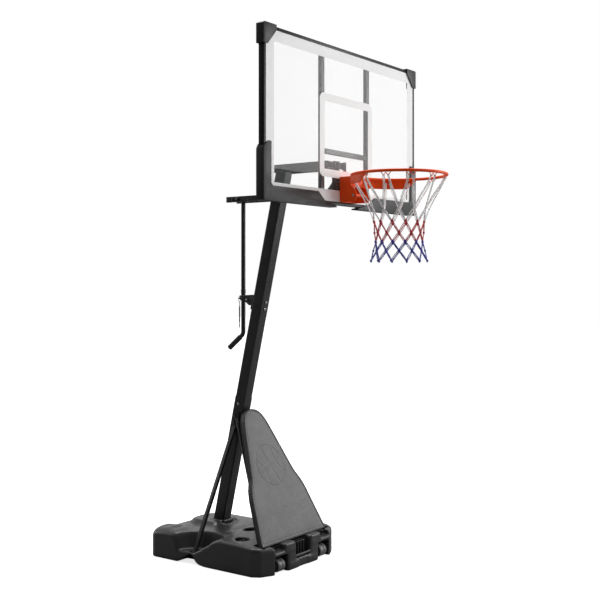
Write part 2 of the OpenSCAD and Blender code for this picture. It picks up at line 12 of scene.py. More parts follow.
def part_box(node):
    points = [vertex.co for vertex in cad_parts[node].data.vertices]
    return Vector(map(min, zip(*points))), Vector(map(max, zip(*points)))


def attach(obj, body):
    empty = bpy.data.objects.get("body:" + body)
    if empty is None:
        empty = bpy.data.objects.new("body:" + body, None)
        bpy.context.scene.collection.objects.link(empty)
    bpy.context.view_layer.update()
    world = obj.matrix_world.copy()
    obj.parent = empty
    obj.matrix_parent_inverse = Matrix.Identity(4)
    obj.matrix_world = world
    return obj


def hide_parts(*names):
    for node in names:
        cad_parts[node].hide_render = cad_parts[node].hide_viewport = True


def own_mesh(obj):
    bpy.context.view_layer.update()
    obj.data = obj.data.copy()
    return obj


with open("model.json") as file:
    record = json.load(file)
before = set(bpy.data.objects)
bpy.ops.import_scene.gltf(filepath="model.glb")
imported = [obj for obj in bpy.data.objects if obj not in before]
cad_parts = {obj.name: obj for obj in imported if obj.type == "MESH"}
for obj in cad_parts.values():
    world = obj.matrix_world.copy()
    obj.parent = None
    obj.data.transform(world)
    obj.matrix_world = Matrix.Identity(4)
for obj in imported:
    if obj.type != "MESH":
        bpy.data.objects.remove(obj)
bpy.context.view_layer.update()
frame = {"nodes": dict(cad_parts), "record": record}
nodes = frame["nodes"]
body_of_node = {n: b for b, ns in frame["record"]["behaviour"]["bodies"].items() for n in ns}
random.seed(7)
scene = bpy.context.scene


# ---------- camera, light and floor ----------

def make_camera():
    data = bpy.data.cameras.new("camera")
    data.sensor_width = 36
    data.lens = 60.847
    data.shift_y = -0.02822
    data.clip_end = 60
    cam = bpy.data.objects.new("camera", data)
    cam.location = (-4.29475, -3.51180, 1.479)
    cam.rotation_euler = (math.radians(90), 0, math.radians(-53.771))
    scene.collection.objects.link(cam)
    scene.camera = cam


def area_light(name, place, target, size, power):
    data = bpy.data.lights.new(name, "AREA")
    data.shape = "RECTANGLE"
    data.size, data.size_y = size
    data.energy = power
    lamp = bpy.data.objects.new(name, data)
    lamp.location = place
    lamp.rotation_euler = (Vector(target) - Vector(place)).to_track_quat("-Z", "Y").to_euler()
    scene.collection.objects.link(lamp)


def studio_world():
    """White to the eye; as a light, brightest beyond the object's far right side and dim on its left."""
    world = bpy.data.worlds.new("studio")
    scene.world = world
    world.use_nodes = True
    t = world.node_tree
    seen = t.nodes["Background"]
    seen.inputs["Color"].default_value = (1, 1, 1, 1)
    seen.inputs["Strength"].default_value = 1.0
    lit = t.nodes.new("ShaderNodeBackground")
    coords = t.nodes.new("ShaderNodeTexCoord")
    towards = t.nodes.new("ShaderNodeVectorMath")
    towards.operation = "DOT_PRODUCT"
    towards.inputs[1].default_value = Vector((0.72, 0.10, 0.55)).normalized()
    t.links.new(coords.outputs["Generated"], towards.inputs[0])
    fade = t.nodes.new("ShaderNodeMapRange")
    fade.inputs["From Min"].default_value = -0.35
    fade.inputs["From Max"].default_value = 0.85
    fade.inputs["To Min"].default_value = 0.17
    fade.inputs["To Max"].default_value = 1.15
    t.links.new(towards.outputs["Value"], fade.inputs["Value"])
    t.links.new(fade.outputs["Result"], lit.inputs["Strength"])
    path = t.nodes.new("ShaderNodeLightPath")
    mix = t.nodes.new("ShaderNodeMixShader")
    t.links.new(path.outputs["Is Camera Ray"], mix.inputs["Fac"])
    t.links.new(lit.outputs["Background"], mix.inputs[1])
    t.links.new(seen.outputs["Background"], mix.inputs[2])
    t.links.new(mix.outputs["Shader"], t.nodes["World Output"].inputs["Surface"])


def make_stage():
    studio_world()
    scene.view_settings.view_transform = "Standard"
    far = 30
    corners = [(-far, -far, 0), (far, -far, 0), (far, far, 0), (-far, far, 0)]
    floor = mesh_object("studio_floor", corners, [(0, 1, 2, 3)])
    floor.data.materials.append(flat_floor())
    area_light("key_light", (3.95, -4.28, 2.6), (0, -0.3, 1.2), (2.0, 3.6), 160)
    area_light("top_light", (0.8, 0.6, 5.4), (0, 0, 0.4), (3, 3), 190)
    area_light("rear_light", (-1.5, 6.0, 2.8), (0, 0, 1.2), (2.5, 3), 60)


# ---------- mesh helpers ----------

def mesh_object(name, verts, faces, smooth=True):
    data = bpy.data.meshes.new(name)
    data.from_pydata([tuple(v) for v in verts], [], [tuple(f) for f in faces])
    data.validate()
    data.update()
    obj = bpy.data.objects.new(name, data)
    scene.collection.objects.link(obj)
    if smooth:
        data.polygons.foreach_set("use_smooth", [True] * len(data.polygons))
    return obj


def place(obj, body, slot, material, *replaced):
    """Rides on a body, takes a material, and stands for CAD nodes; the slot argument is not used."""
    obj.data.materials.clear()
    obj.data.materials.append(material)
    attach(obj, body)
    if replaced:
        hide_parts(*replaced)
    return obj


def crease_by_angle(obj, degrees=35):
    """Smooth shading except at edges sharper than the angle."""
    bm = bmesh.new()
    bm.from_mesh(obj.data)
    for f in bm.faces:
        f.smooth = True
    for e in bm.edges:
        e.smooth = len(e.link_faces) == 2 and e.calc_face_angle(0) < math.radians(degrees)
    bm.to_mesh(obj.data)
    bm.free()


def apply_modifiers(obj):
    graph = bpy.context.evaluated_depsgraph_get()
    mesh = bpy.data.meshes.new_from_object(obj.evaluated_get(graph))
    obj.modifiers.clear()
    obj.data = mesh


def bevel(obj, width, segments=2):
    mod = obj.modifiers.new("edges", "BEVEL")
    mod.width = width
    mod.segments = segments
    mod.limit_method = "ANGLE"
    mod.angle_limit = math.radians(30)
    mod.miter_outer = "MITER_ARC"
    mod.harden_normals = False
    apply_modifiers(obj)
    crease_by_angle(obj, 40)


def soften(node, material, slot, width=0.0012, segments=2):
    """A copy of a CAD node with rounded edges, standing for it."""
    data = nodes[node].data.copy()
    obj = bpy.data.objects.new(node + "_shape", data)
    scene.collection.objects.link(obj)
    bm = bmesh.new()
    bm.from_mesh(data)
    bmesh.ops.remove_doubles(bm, verts=bm.verts, dist=2e-6)
    bmesh.ops.dissolve_limit(bm, angle_limit=math.radians(0.6), verts=bm.verts, edges=bm.edges)
    bm.to_mesh(data)
    bm.free()
    bevel(obj, width, segments)
    return place(obj, body_of_node[node], slot, material, node)


def tube(path, radius, sides=12, closed=False):
    """A round tube along points, with frames carried along the path. radius is a number or one per point."""
    pts = [Vector(p) for p in path]
    n = len(pts)
    radii = [radius] * n if not hasattr(radius, "__len__") else radius
    verts, faces = [], []
    normal = None
    for i, p in enumerate(pts):
        before = pts[(i - 1) % n] if closed or i else p
        after = pts[(i + 1) % n] if closed or i < n - 1 else p
        t = (after - before).normalized()
        if normal is None:
            normal = t.orthogonal().normalized()
        normal = (normal - t * normal.dot(t)).normalized()
        side = t.cross(normal)
        for j in range(sides):
            a = 2 * math.pi * j / sides
            verts.append(p + radii[i] * (math.cos(a) * normal + math.sin(a) * side))
    for i in range(n if closed else n - 1):
        for j in range(sides):
            k = (j + 1) % sides
            a, b = i * sides, ((i + 1) % n) * sides
            faces.append((a + j, a + k, b + k, b + j))
    if not closed:
        faces.append(tuple(range(sides))[::-1])
        faces.append(tuple((n - 1) * sides + j for j in range(sides)))
    return verts, faces


def merged(parts):
    """One vertex and face list from several."""
    verts, faces = [], []
    for v, f in parts:
        base = len(verts)
        verts += list(v)
        faces += [tuple(base + i for i in g) for g in f]
    return verts, faces


def lathe(profile, steps=64):
    """Turns (radius, height) points about +Z; a closed profile gives a closed ring."""
    verts, faces = [], []
    m = len(profile)
    for i in range(steps):
        a = 2 * math.pi * i / steps
        verts += [Vector((r * math.cos(a), r * math.sin(a), h)) for r, h in profile]
    for i in range(steps):
        for j in range(m):
            k, b = (j + 1) % m, ((i + 1) % steps) * m
            faces.append((i * m + j, b + j, b + k, i * m + k))
    return verts, faces


def moved(part, matrix):
    return [matrix @ Vector(v) for v in part[0]], part[1]


def along_x(x, y, z):
    """Takes +Z to +X and puts the origin at the point."""
    return Matrix.Translation((x, y, z)) @ Matrix.Rotation(math.pi / 2, 4, "Y")


def turn_profile(pairs, steps=48):
    """Like lathe, with the axis closed off at both ends."""
    verts, faces = [], []
    m = len(pairs)
    for i in range(steps):
        a = 2 * math.pi * i / steps
        verts += [Vector((r * math.cos(a), r * math.sin(a), h)) for r, h in pairs]
    for i in range(steps):
        b = ((i + 1) % steps) * m
        faces += [(i * m + j, b + j, b + j + 1, i * m + j + 1) for j in range(m - 1)]
    faces.append(tuple(i * m for i in range(steps))[::-1])
    faces.append(tuple(i * m + m - 1 for i in range(steps)))
    return verts, faces


# ---------- materials ----------

def new_material(name):
    m = bpy.data.materials.new(name)
    m.use_nodes = True
    return m, m.node_tree, m.node_tree.nodes["Principled BSDF"]


def object_coords(tree, scale=(1, 1, 1)):
    coords = tree.nodes.new("ShaderNodeTexCoord")
    mapping = tree.nodes.new("ShaderNodeMapping")
    mapping.inputs["Scale"].default_value = scale
    tree.links.new(coords.outputs["Object"], mapping.inputs["Vector"])
    return mapping.outputs["Vector"]


def noise(tree, vector, scale, detail=4, rough=0.55):
    n = tree.nodes.new("ShaderNodeTexNoise")
    n.inputs["Scale"].default_value = scale
    n.inputs["Detail"].default_value = detail
    n.inputs["Roughness"].default_value = rough
    tree.links.new(vector, n.inputs["Vector"])
    return n.outputs["Fac"]


def ramp(tree, fac, stops):
    r = tree.nodes.new("ShaderNodeValToRGB")
    while len(r.color_ramp.elements) < len(stops):
        r.color_ramp.elements.new(0.5)
    for e, (p, c) in zip(r.color_ramp.elements, stops):
        e.position = p
        e.color = (*c, 1) if hasattr(c, "__len__") else (c, c, c, 1)
    tree.links.new(fac, r.inputs["Fac"])
    return r.outputs["Color"]


def span(tree, fac, low, high):
    """Spreads the middle of a noise over low to high."""
    r = tree.nodes.new("ShaderNodeMapRange")
    r.inputs["From Min"].default_value = 0.3
    r.inputs["From Max"].default_value = 0.7
    r.inputs["To Min"].default_value = low
    r.inputs["To Max"].default_value = high
    tree.links.new(fac, r.inputs["Value"])
    return r.outputs["Result"]


def math_node(tree, operation, a, b):
    n = tree.nodes.new("ShaderNodeMath")
    n.operation = operation
    tree.links.new(a, n.inputs[0])
    tree.links.new(b, n.inputs[1])
    return n.outputs[0]


def bump(tree, shader, height, strength, distance):
    b = tree.nodes.new("ShaderNodeBump")
    b.inputs["Strength"].default_value = strength
    b.inputs["Distance"].default_value = distance
    tree.links.new(height, b.inputs["Height"])
    tree.links.new(b.outputs["Normal"], shader.inputs["Normal"])


def worn_plastic(name, dark, light, rough, grain=900, shine=0.5):
    """Moulded plastic: slow colour drift, scuffed roughness and a fine leather-like grain."""
    m, t, s = new_material(name)
    v = object_coords(t)
    drift = noise(t, v, 7, 5)
    t.links.new(ramp(t, drift, [(0.3, dark), (0.7, light)]), s.inputs["Base Color"])
    scuff = noise(t, v, 38, 8, 0.7)
    t.links.new(span(t, scuff, rough[0], rough[1]), s.inputs["Roughness"])
    fine = noise(t, v, grain, 3, 0.6)
    bump(t, s, fine, 0.35, 0.00012)
    s.inputs["Specular IOR Level"].default_value = shine
    return m


def powder_coat(name, dark, light, rough=(0.34, 0.5), shine=0.5):
    """Powder coated steel: orange peel, faint dust and slightly uneven gloss."""
    m, t, s = new_material(name)
    v = object_coords(t)
    drift = noise(t, v, 5, 6)
    t.links.new(ramp(t, drift, [(0.3, dark), (0.72, light)]), s.inputs["Base Color"])
    smear = noise(t, v, 22, 6, 0.65)
    t.links.new(span(t, smear, rough[0], rough[1]), s.inputs["Roughness"])
    skin = noise(t, v, 420, 2, 0.5)
    bump(t, s, skin, 0.25, 0.00015)
    s.inputs["Specular IOR Level"].default_value = shine
    return m


def bright_zinc(name, tone):
    """Plated steel with brushed streaks and a faint yellow and blue cast."""
    m, t, s = new_material(name)
    v = object_coords(t)
    cast = noise(t, v, 60, 3)
    tints = [(0.3, (0.84, 0.84, 0.81)), (0.55, (1.05, 1.03, 0.96)), (0.75, (0.95, 0.98, 1.05))]
    stops = [(at, tuple(tone * c for c in tint)) for at, tint in tints]
    t.links.new(ramp(t, cast, stops), s.inputs["Base Color"])
    streak = noise(t, object_coords(t, (1, 1, 14)), 300, 4, 0.7)
    t.links.new(span(t, streak, 0.22, 0.4), s.inputs["Roughness"])
    bump(t, s, streak, 0.2, 0.00008)
    s.inputs["Metallic"].default_value = 1
    return m


def soft_rubber(name):
    m, t, s = new_material(name)
    v = object_coords(t)
    t.links.new(ramp(t, noise(t, v, 30, 4), [(0.3, 0.012), (0.7, 0.022)]), s.inputs["Base Color"])
    t.links.new(span(t, noise(t, v, 90, 5), 0.55, 0.75), s.inputs["Roughness"])
    bump(t, s, noise(t, v, 1400, 2), 0.4, 0.0001)
    return m


def braided(name, dark, light):
    """Braided polyester cord: slanting strands over a fuzzy, slightly uneven colour."""
    m, t, s = new_material(name)
    v = object_coords(t)
    wave = t.nodes.new("ShaderNodeTexWave")
    wave.inputs["Scale"].default_value = 210
    wave.inputs["Distortion"].default_value = 1.2
    wave.inputs["Detail Scale"].default_value = 4
    t.links.new(object_coords(t, (1, 1, 1.3)), wave.inputs["Vector"])
    t.links.new(ramp(t, noise(t, v, 160, 4), [(0.3, dark), (0.7, light)]), s.inputs["Base Color"])
    bump(t, s, wave.outputs["Fac"], 0.35, 0.0005)
    s.inputs["Roughness"].default_value = 0.75
    s.inputs["Sheen Weight"].default_value = 0.6
    return m


def pad_cloth(name):
    """Coated cover: a fine woven backing showing through, with slow shading and scuffs."""
    m, t, s = new_material(name)
    v = object_coords(t)
    t.links.new(ramp(t, noise(t, v, 9, 6), [(0.3, (0.106, 0.106, 0.108)), (0.7, (0.130, 0.130, 0.132))]),
                s.inputs["Base Color"])
    t.links.new(span(t, noise(t, v, 46, 6, 0.7), 0.5, 0.68), s.inputs["Roughness"])
    heights = []
    for direction, scale in (("X", 620), ("Z", 620)):
        w = t.nodes.new("ShaderNodeTexWave")
        w.bands_direction = direction
        w.inputs["Scale"].default_value = scale
        w.inputs["Distortion"].default_value = 0.4
        t.links.new(v, w.inputs["Vector"])
        heights.append(w.outputs["Fac"])
    weave = math_node(t, "MAXIMUM", heights[0], heights[1])
    skin = math_node(t, "ADD", weave, noise(t, v, 700, 3))
    bump(t, s, skin, 0.3, 0.0002)
    s.inputs["Sheen Weight"].default_value = 0.12
    return m


def clear_acrylic(name):
    m, t, s = new_material(name)
    v = object_coords(t)
    t.links.new(ramp(t, noise(t, v, 6, 4), [(0.3, (0.90, 0.94, 0.95)), (0.7, (0.94, 0.97, 0.98))]),
                s.inputs["Base Color"])
    t.links.new(span(t, noise(t, v, 25, 5), 0.03, 0.09), s.inputs["Roughness"])
    s.inputs["Alpha"].default_value = 0.04
    s.inputs["IOR"].default_value = 1.49
    s.inputs["Specular IOR Level"].default_value = 0.2
    return m


def ink(name, dark, light, alpha=1.0):
    """Screen printed ink with a faint pinhole mottling; at low alpha it also makes the painted reflection
    sheet.
    """
    m, t, s = new_material(name)
    v = object_coords(t)
    t.links.new(ramp(t, noise(t, v, 14, 6), [(0.3, dark), (0.7, light)]), s.inputs["Base Color"])
    t.links.new(span(t, noise(t, v, 60, 4), 0.28, 0.42), s.inputs["Roughness"])
    bump(t, s, noise(t, v, 900, 2), 0.12, 0.00005)
    s.inputs["Specular IOR Level"].default_value = 0.2
    s.inputs["Alpha"].default_value = alpha
    return m


def flat_floor():
    m, t, s = new_material("floor_paint")
    v = object_coords(t)
    t.links.new(ramp(t, noise(t, v, 1.5, 3), [(0.3, 0.86), (0.7, 0.88)]), s.inputs["Base Color"])
    s.inputs["Roughness"].default_value = 0.9
    s.inputs["Specular IOR Level"].default_value = 0.1
    s.inputs["Emission Color"].default_value = (1, 1, 1, 1)
    s.inputs["Emission Strength"].default_value = 0.78
    dim = t.nodes.new("ShaderNodeBsdfDiffuse")
    dim.inputs["Color"].default_value = (0.24, 0.24, 0.24, 1)
    seen = t.nodes.new("ShaderNodeLightPath")
    mix = t.nodes.new("ShaderNodeMixShader")
    t.links.new(seen.outputs["Is Camera Ray"], mix.inputs[0])
    t.links.new(dim.outputs[0], mix.inputs[1])
    t.links.new(s.outputs[0], mix.inputs[2])
    t.links.new(mix.outputs[0], t.nodes["Material Output"].inputs["Surface"])
    return m


make_camera()
make_stage()
BASE_PLASTIC = worn_plastic("base_plastic_mat", (0.017, 0.017, 0.018), (0.026, 0.026, 0.027), (0.28, 0.44))
CAP_PLASTIC = worn_plastic("cap_plastic_mat", (0.018, 0.018, 0.020), (0.028, 0.028, 0.030), (0.42, 0.58))
WHEEL_PLASTIC = worn_plastic("wheel_plastic_mat", (0.085, 0.085, 0.087), (0.120, 0.120, 0.122),
                             (0.34, 0.5), grain=600)
CORNER_PLASTIC = worn_plastic("corner_plastic_mat", (0.026, 0.026, 0.027), (0.036, 0.036, 0.037),
                              (0.30, 0.40), shine=0.14)
BLACK_STEEL = powder_coat("black_steel_mat", 0.009, 0.016, (0.26, 0.4))
FRAME_BLACK = powder_coat("frame_black_mat", 0.010, 0.016, (0.28, 0.38), shine=0.14)
RIM_ORANGE = powder_coat("rim_orange_mat", (0.93, 0.070, 0.003), (0.99, 0.100, 0.006), (0.34, 0.46),
                         shine=0.2)
ZINC = bright_zinc("zinc_mat", 0.42)
DARK_ZINC = bright_zinc("dark_zinc_mat", 0.10)
RUBBER = soft_rubber("grip_rubber_mat")
PAD_CLOTH = pad_cloth("pad_cloth_mat")
PAD_EDGE = worn_plastic("pad_edge_mat", (0.012, 0.012, 0.013), (0.020, 0.020, 0.021), (0.5, 0.65), 1200)
THREAD = braided("thread_mat", (0.30, 0.30, 0.30), (0.42, 0.42, 0.42))
ACRYLIC = clear_acrylic("acrylic_mat")
WHITE_INK = ink("white_ink_mat", (0.92, 0.92, 0.92), (0.97, 0.97, 0.97))
# painted reflection: a faint, nearly clear white sheet that stands for glare washing over the acrylic
PAINTED_GLARE_INK = ink("painted_glare_mat", (0.92, 0.92, 0.92), (0.97, 0.97, 0.97), 0.085)
CORD_WHITE = braided("cord_white_mat", (0.93, 0.93, 0.93), (0.99, 0.99, 0.98))
CORD_RED = braided("cord_red_mat", (0.50, 0.008, 0.018), (0.66, 0.018, 0.032))
CORD_BLUE = braided("cord_blue_mat", (0.018, 0.022, 0.33), (0.036, 0.044, 0.48))


# ---------- ballast base, in millimetres ----------

ISLAND_TOP = 173
FILLER_X, FILLER_Y = -240, -170
HAND_HOLE_X, HAND_HOLE_Y = -55, -70
POLE_FOOT_Y = 211
POLE_LEAN = math.radians(12.84)
PARTING_Z = 84
FRONT_Y = -391


def smax(a, b, k):
    h = np.maximum(k - np.abs(a - b), 0) / k
    return np.maximum(a, b) + h * h * k / 4


def smin(a, b, k):
    return -smax(-a, -b, k)


def box3(x, y, z, lo, hi, r=0.0):
    c = [(a + b) / 2 for a, b in zip(lo, hi)]
    h = [(b - a) / 2 - r for a, b in zip(lo, hi)]
    q = [np.abs(p - m) - n for p, m, n in zip((x, y, z), c, h)]
    outside = np.sqrt(sum(np.maximum(v, 0) ** 2 for v in q))
    return outside + np.minimum(np.maximum(np.maximum(q[0], q[1]), q[2]), 0) - r


def polygon2(x, y, pts):
    """Signed distance to a polygon, negative inside."""
    d = np.full(np.broadcast(x, y).shape, 1e9)
    sign = np.ones_like(d)
    n = len(pts)
    for i in range(n):
        (ax, ay), (bx, by) = pts[i], pts[i - 1]
        ex, ey = bx - ax, by - ay
        wx, wy = x - ax, y - ay
        t = np.clip((wx * ex + wy * ey) / (ex * ex + ey * ey), 0, 1)
        d = np.minimum(d, (wx - ex * t) ** 2 + (wy - ey * t) ** 2)
        c1, c2, c3 = y >= ay, y < by, ex * wy > ey * wx
        flip = (c1 & c2 & c3) | (~c1 & ~c2 & ~c3)
        sign = np.where(flip, -sign, sign)
    return sign * np.sqrt(d)


def hill(x, y, cx, cy, rx, ry, power=2):
    return np.exp(-(np.abs((x - cx) / rx) ** power + np.abs((y - cy) / ry) ** power))


def base_height(x, y):
    """Height of the tank's moulded top, in millimetres."""
    ax = np.abs(x)
    h = np.interp(y, [-390, -330, -200, -60, 60, 200, 320, 392], [139, 147, 154, 158, 156, 151, 145, 138])
    h = h - np.interp(y, [-390, -60, 60, 300], [2, 3, 8, 10]) * np.clip((ax - 250) / 90, 0, 1) ** 1.3
    h = h + 19 * hill(ax, y, 258, 318, 70, 100, 4)
    h = h - 11 * hill(ax, y, 232, 262, 66, 20, 3) - 5 * hill(ax, y, 250, 330, 46, 16, 3)
    h = h - 6 * hill(ax, y, 120, -20, 150, 24, 2)
    # raised island round the pole's socket, dished in front of the pole
    island = np.clip((14 - smax(smax(ax - 96, y - 336, 60), 132 - y, 40)) / 26, 0, 1)
    h = h + (ISLAND_TOP - h) * island * island * (3 - 2 * island)
    h = h - 17 * hill(x, y, 8, 118, 50, 26, 3)
    # the shoulder on the side away from the arms' lever falls off behind the island
    fall = ISLAND_TOP - 0.29 * np.maximum(x - 100, 0) + 3 * np.maximum(40 - y, 0)
    h = smin(h, fall, 14)
    # side valley: a steep wall behind the strut's foot and a long ramp in front of it
    ramp = np.interp(y, [-420, -190, -110, -80, -50, -20, 40, 78, 400],
                     [260, 230, 184, 163, 144, 121, 88, 67, 66])
    wall = polygon2(-ax, y, [(-460, 270), (-345, 214), (-270, 164), (-243, 122), (-226, 40), (-214, -60),
                             (-214, -400), (-460, -400)])
    return smin(h, ramp + 3.4 * np.maximum(wall + 14, 0), 26)


def base_distance(x, y, z):
    ax = np.abs(x)
    plan = [(-339, 362), (-328, 384), (-300, 391), (300, 391), (328, 384), (339, 362),
            (339, -308), (314, -350), (240, -386), (-240, -386), (-314, -350), (-339, -308)]
    footprint = polygon2(x, y, plan)
    body = smax(footprint - 2, z - base_height(x, y), 22)
    body = smax(body, -z + 1, 5)
    # arch under the strut's shelf, with a rocker-shaped front lobe
    sill = np.interp(y, [-60, -10, 36, 58, 72, 84, 98, 120, 150, 172, 192, 206],
                     [-12, -4, 4, 12, 23, 43, 53, 49, 27, 15, 3, -12])
    body = smax(body, -smax(z - sill, 262 - ax, 10), 7)
    # front: wheel wells, open centre bay and the recess behind the pad's foot
    well = box3(ax, y, z, (134, -440, -30), (238, -298, 90), 6)
    body = smax(body, -well, 5)
    bay = box3(x, y, z, (-64, -440, 50), (64, -340, 260), 8)
    body = smax(body, -bay, 6)
    seat = box3(x, y, z, (-290, -350, 118), (290, -286, 300), 4)
    body = smax(body, -seat, 6)
    brow = box3(ax, y, z, (158, -440, 112), (236, -330, 300), 7)
    body = smax(body, -brow, 8)
    body = smin(body, box3(ax, y, z, (70, FRONT_Y, 94), (156, -346, 146), 11), 6)
    body = smin(body, box3(ax, y, z, (68, FRONT_Y, 6), (128, -348, 120), 12), 8)
    toe = box3(ax, y, z, (40, FRONT_Y, 2), (128, -350, 44), 12)
    body = smin(body, toe, 12)
    for rib in (-36, -12, 12, 36):
        body = smin(body, box3(x, y, z, (rib - 4, -366, 40), (rib + 4, -330, 128), 3), 4)
    body = smin(body, box3(x, y, z, (-70, -388, 56), (70, -374, 70), 7), 5)
    # filler recess, hand hole, pole socket
    r = np.hypot(x - FILLER_X, y - FILLER_Y)
    body = smax(body, -smax(r - 38, 128 - z, 4), 6)
    body = smax(body, -smax(r - 22.6, 96 - z, 2), 2)
    r2 = np.hypot((x - HAND_HOLE_X) / 1.25, y - HAND_HOLE_Y)
    body = smax(body, -smax(r2 - 34, 128 - z, 8), 8)
    py = (y - POLE_FOOT_Y) * math.cos(POLE_LEAN) + z * math.sin(POLE_LEAN)
    socket = smax(np.abs(x), np.abs(py), 10) - 37.2
    collar = smax(smax(np.abs(x), np.abs(py), 18) - 49, z - 175, 8)
    body = smin(body, smax(collar, 100 - z, 4), 10)
    body = smax(body, -smax(socket, 90 - z, 2), 2)
    # parting line round the middle of the walls
    body = body + 0.9 * np.exp(-((z - PARTING_Z) / 2.6) ** 2)
    return smax(body, -z + 0.6, 2)


def surface_net(distance, lo, hi, step):
    """Vertices and quads of the zero surface of a distance function on a regular grid."""
    axes = [np.arange(a, b + step, step) for a, b in zip(lo, hi)]
    x, y, z = axes[0][:, None, None], axes[1][None, :, None], axes[2][None, None, :]
    field = np.broadcast_to(distance(x, y, z), [len(a) for a in axes]).astype(np.float64)
    inside = field < 0
    shape = np.array(field.shape) - 1
    total = np.zeros((*shape, 3))
    count = np.zeros(shape)
    corner = [(i, j, k) for i in (0, 1) for j in (0, 1) for k in (0, 1)]

    def at(c, f):
        return f[c[0]:c[0] + shape[0], c[1]:c[1] + shape[1], c[2]:c[2] + shape[2]]

    for c in corner:
        for axis in range(3):
            if c[axis]:
                continue
            d = list(c)
            d[axis] = 1
            f0, f1 = at(c, field), at(d, field)
            cross = (f0 < 0) != (f1 < 0)
            t = np.where(cross, f0 / np.where(cross, f0 - f1, 1), 0)
            for a in range(3):
                total[..., a] += np.where(cross, c[a] + (t if a == axis else 0), 0)
            count += cross
    live = count > 0
    index = np.full(shape, -1)
    index[live] = np.arange(live.sum())
    local = total[live] / count[live][:, None]
    where = np.argwhere(live)
    verts = np.array(lo) + (where + local) * step
    faces = []
    for axis in range(3):
        b, c = [(1, 2), (2, 0), (0, 1)][axis]
        sl0 = [slice(1, -1)] * 3
        sl0[axis] = slice(0, -1)
        sl1 = [slice(1, -1)] * 3
        sl1[axis] = slice(1, None)
        i0, i1 = inside[tuple(sl0)], inside[tuple(sl1)]
        change = np.argwhere(i0 != i1)
        start = change.copy()
        for a in (b, c):
            start[:, a] += 1
        flip = i0[tuple(change.T)]
        quad = []
        for db, dc in ((-1, -1), (0, -1), (0, 0), (-1, 0)):
            q = start.copy()
            q[:, b] += db
            q[:, c] += dc
            quad.append(index[tuple(q.T)])
        quad = np.stack(quad, 1)
        quad[~flip] = quad[~flip][:, ::-1]
        faces.append(quad)
    return verts, np.concatenate(faces)


def make_base():
    step = 5.0
    verts, faces = surface_net(base_distance, (-352, -408, -12), (352, 404, 200), step)
    obj = mesh_object("base_tank_moulding", verts / 1000, faces)
    mod = obj.modifiers.new("ease", "SMOOTH")
    mod.factor = 0.5
    mod.iterations = 3
    apply_modifiers(obj)
    place(obj, "stand", "base_plastic", BASE_PLASTIC, "base_tank")


def make_fill_cap():
    knurl = []
    cap = turn_profile([(0.0205, 0.104), (0.0205, 0.1284), (0.031, 0.1286), (0.0325, 0.130), (0.0325, 0.1385),
                        (0.0310, 0.1404), (0.0285, 0.1408), (0.0275, 0.1395), (0.010, 0.1393)], 72)
    knurl.append(cap)
    for i in range(18):
        a = 2 * math.pi * i / 18
        rib = turn_profile([(0.0016, 0.1296), (0.0019, 0.1305), (0.0019, 0.1385), (0.0012, 0.1400)], 10)
        knurl.append(moved(rib, Matrix.Translation((0.0322 * math.cos(a), 0.0322 * math.sin(a), 0))))
    verts, faces = merged(knurl)
    x, y = FILLER_X / 1000, FILLER_Y / 1000
    obj = mesh_object("fill_cap_knurled", [v + Vector((x, y, 0)) for v in verts], faces)
    bar = block((x - 0.022, y - 0.0035, 0.1385), (x + 0.022, y + 0.0035, 0.1490))
    grip = mesh_object("fill_cap_bar", *bar)
    bevel(grip, 0.002, 3)
    crease_by_angle(obj, 40)
    place(obj, "fill_cap_body", "base_plastic", CAP_PLASTIC, "fill_cap")
    place(grip, "fill_cap_body", "base_plastic", CAP_PLASTIC)


def block(lo, hi):
    (a, b, c), (d, e, f) = lo, hi
    verts = [(a, b, c), (d, b, c), (d, e, c), (a, e, c), (a, b, f), (d, b, f), (d, e, f), (a, e, f)]
    faces = [(0, 3, 2, 1), (4, 5, 6, 7), (0, 1, 5, 4), (1, 2, 6, 5), (2, 3, 7, 6), (3, 0, 4, 7)]
    return [Vector(v) for v in verts], faces


def make_wheels():
    for name in ("left", "right"):
        lo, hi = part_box(f"wheel_{name}")
        mid = (lo + hi) / 2
        r = (hi.z - lo.z) / 2
        half = (hi.x - lo.x) / 2
        tread = [(0.0064, -half), (0.0125, -half), (0.0135, -half + 0.002), (0.0135, -half + 0.009),
                 (r - 0.0105, -half + 0.009), (r - 0.0085, -half + 0.0015), (r - 0.006, -half),
                 (r - 0.003, -half + 0.0006), (r - 0.001, -half + 0.004), (r, -half + 0.009)]
        groove = [(r, -0.006), (r - 0.0018, -0.0045), (r - 0.0018, 0.0045), (r, 0.006)]
        profile = tread + groove + [(a, -b) for a, b in reversed(tread)]
        wheel = lathe(profile, 96)
        spokes = []
        for i in range(6):
            for z in (-half + 0.0035, half - 0.0085):
                rib = block((0.0130, -0.0018, z), (r - 0.0090, 0.0018, z + 0.005))
                spokes.append(moved(rib, Matrix.Rotation(math.pi * i / 3, 4, "Z")))
        verts, faces = moved(merged([wheel, *spokes]), along_x(*mid))
        obj = mesh_object(f"wheel_{name}_moulded", verts, faces)
        crease_by_angle(obj, 38)
        place(obj, f"{name}_wheel", "wheel_plastic", WHEEL_PLASTIC, f"wheel_{name}")


# ---------- pole pad ----------

PAD_FOOT = Vector((0, -0.338, 0.139))
PAD_LEAN = math.radians(24.6)
PAD_T = 0.030
PAD_SIDE = [(0.281, 0.0), (0.231, 0.250), (0.214, 0.298), (0.184, 0.350), (0.112, 0.600), (0.092, 0.660),
            (0.066, 0.700), (0.034, 0.718), (0.0, 0.724)]


def on_pad(u, s, depth):
    """A point on the pad: u across, s up the face, depth behind the face."""
    up = Vector((0, math.sin(PAD_LEAN), math.cos(PAD_LEAN)))
    out = Vector((0, -math.cos(PAD_LEAN), math.sin(PAD_LEAN)))
    return PAD_FOOT + Vector((u, 0, 0)) + up * s - out * depth


